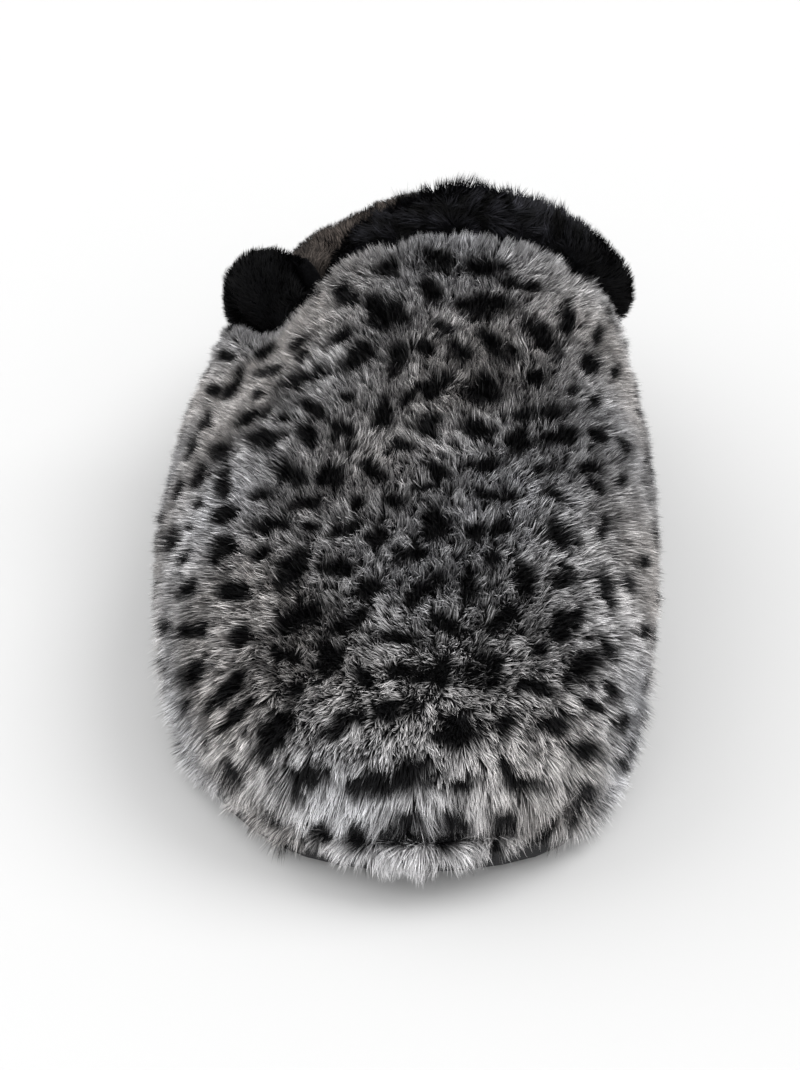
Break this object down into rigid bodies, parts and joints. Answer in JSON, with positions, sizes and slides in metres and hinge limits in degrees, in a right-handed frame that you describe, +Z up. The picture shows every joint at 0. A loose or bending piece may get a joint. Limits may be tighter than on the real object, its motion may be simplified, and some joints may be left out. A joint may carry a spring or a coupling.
{
  "type": "house slipper",
  "caption": "Right-foot plush house slipper: spotted faux-fur upper, stuffed black plush collar roll, plush insole, fur-wrapped foam midsole and thin rubber outsole.",
  "frame": {"origin": "on the floor under the sole, half-way along the slipper, at the flat rear end of the forefoot tread", "axes": "+Y from the toe to the heel, +X towards the big-toe side, +Z up"},
  "size_m": [0.1232, 0.2679, 0.101],
  "materials": {
    "outsole": "matt moulded rubber",
    "midsole": "foam board wrapped in spotted grey and black faux fur",
    "insole": "short black plush over foam",
    "upper": "spotted grey and black faux fur outside, black plush lining inside",
    "collar": "stuffed roll of long black plush"
  },
  "bodies": {
    "root": {"outsole": "outsole", "midsole": "midsole", "insole": "insole", "upper": "upper", "collar": "collar"}
  },
  "joints": []
}
